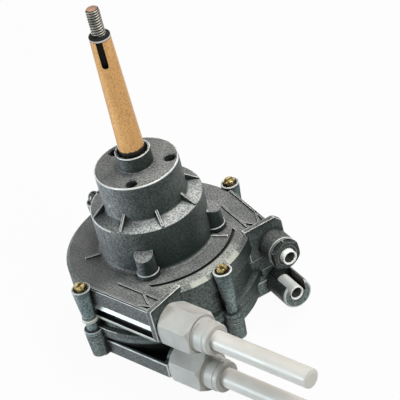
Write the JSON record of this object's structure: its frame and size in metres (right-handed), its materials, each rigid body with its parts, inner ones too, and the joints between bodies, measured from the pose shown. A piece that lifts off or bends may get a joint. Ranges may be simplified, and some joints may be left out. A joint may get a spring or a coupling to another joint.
{
  "type": "boat steering helm",
  "caption": "Dual-cable rotary boat steering helm: tapered shaft, stepped die-cast hub and round casing, planetary gears, cable inlets and spent-cable tubes.",
  "frame": {"origin": "on the steering shaft's axis, in the plane of the hub's mounting face", "axes": "+Z along the shaft towards the steering wheel, +X out between the two cable arms, +Y towards the cable inlets' side"},
  "size_m": [0.2746, 0.1624, 0.271],
  "materials": {
    "casting": "die-cast, satin dark grey",
    "gasket": "matt black",
    "gear_steel": "machined",
    "bronze": "machined bronze",
    "wheel_alloy": "die-cast",
    "yellow_zinc": "yellow zinc plate",
    "gold_zinc": "gold zinc plate",
    "milky_plastic": "translucent milky white"
  },
  "bodies": {
    "housing": {"front_casting": "casting", "rear_cover": "casting", "middle_plate": "casting", "front_gasket": "gasket", "rear_gasket": "gasket", "ring_gear": "gear_steel", "upper_bush": "bronze", "lower_bush": "bronze", "thrust_washer": "bronze", "shaft_seal": "gasket", "rear_bush": "bronze", "casing_screws": "yellow_zinc", "upper_tube_nut": "milky_plastic", "lower_tube_nut": "milky_plastic", "upper_spent_tube": "milky_plastic", "lower_spent_tube": "milky_plastic", "tube_end_caps": "milky_plastic", "inlet_ring_nut": "casting", "upper_inlet_nipple": "milky_plastic", "lower_inlet_nipple": "milky_plastic"},
    "wheel": {"planet_carrier": "gear_steel", "planet_pins": "gear_steel", "pin_rings": "bronze", "upper_cable_wheel": "wheel_alloy", "lower_cable_wheel": "wheel_alloy", "wheel_spacer": "gear_steel", "wheel_clamp_screws": "gear_steel"},
    "shaft": {"input_shaft": "gold_zinc", "shaft_circlip": "gear_steel", "sun_gear": "gear_steel"},
    "planet_1": {"planet_gear_1": "gear_steel"},
    "planet_2": {"planet_gear_2": "gear_steel"},
    "planet_3": {"planet_gear_3": "gear_steel"}
  },
  "joints": [
    {"name": "wheel_turn", "type": "hinge", "parent": "housing", "child": "wheel", "pos_m": [0, 0, -0.0867], "axis": [0, 0, 1], "range_deg": [-110, 110]},
    {"name": "shaft_turn", "type": "hinge", "parent": "housing", "child": "shaft", "pos_m": [0, 0, 0], "axis": [0, 0, 1], "range_deg": [-550, 550]},
    {"name": "planet_1_spin", "type": "hinge", "parent": "wheel", "child": "planet_1", "pos_m": [0.021, 0, -0.056], "axis": [0, 0, 1], "range_deg": [-295, 295]},
    {"name": "planet_2_spin", "type": "hinge", "parent": "wheel", "child": "planet_2", "pos_m": [-0.0105, 0.01819, -0.056], "axis": [0, 0, 1], "range_deg": [-295, 295]},
    {"name": "planet_3_spin", "type": "hinge", "parent": "wheel", "child": "planet_3", "pos_m": [-0.0105, -0.01819, -0.056], "axis": [0, 0, 1], "range_deg": [-295, 295]}
  ],
  "couplings": [
    {"joint": "shaft_turn", "follows": "wheel_turn", "ratio": 5},
    {"joint": "planet_1_spin", "follows": "wheel_turn", "ratio": -2.6667},
    {"joint": "planet_2_spin", "follows": "wheel_turn", "ratio": -2.6667},
    {"joint": "planet_3_spin", "follows": "wheel_turn", "ratio": -2.6667}
  ]
}
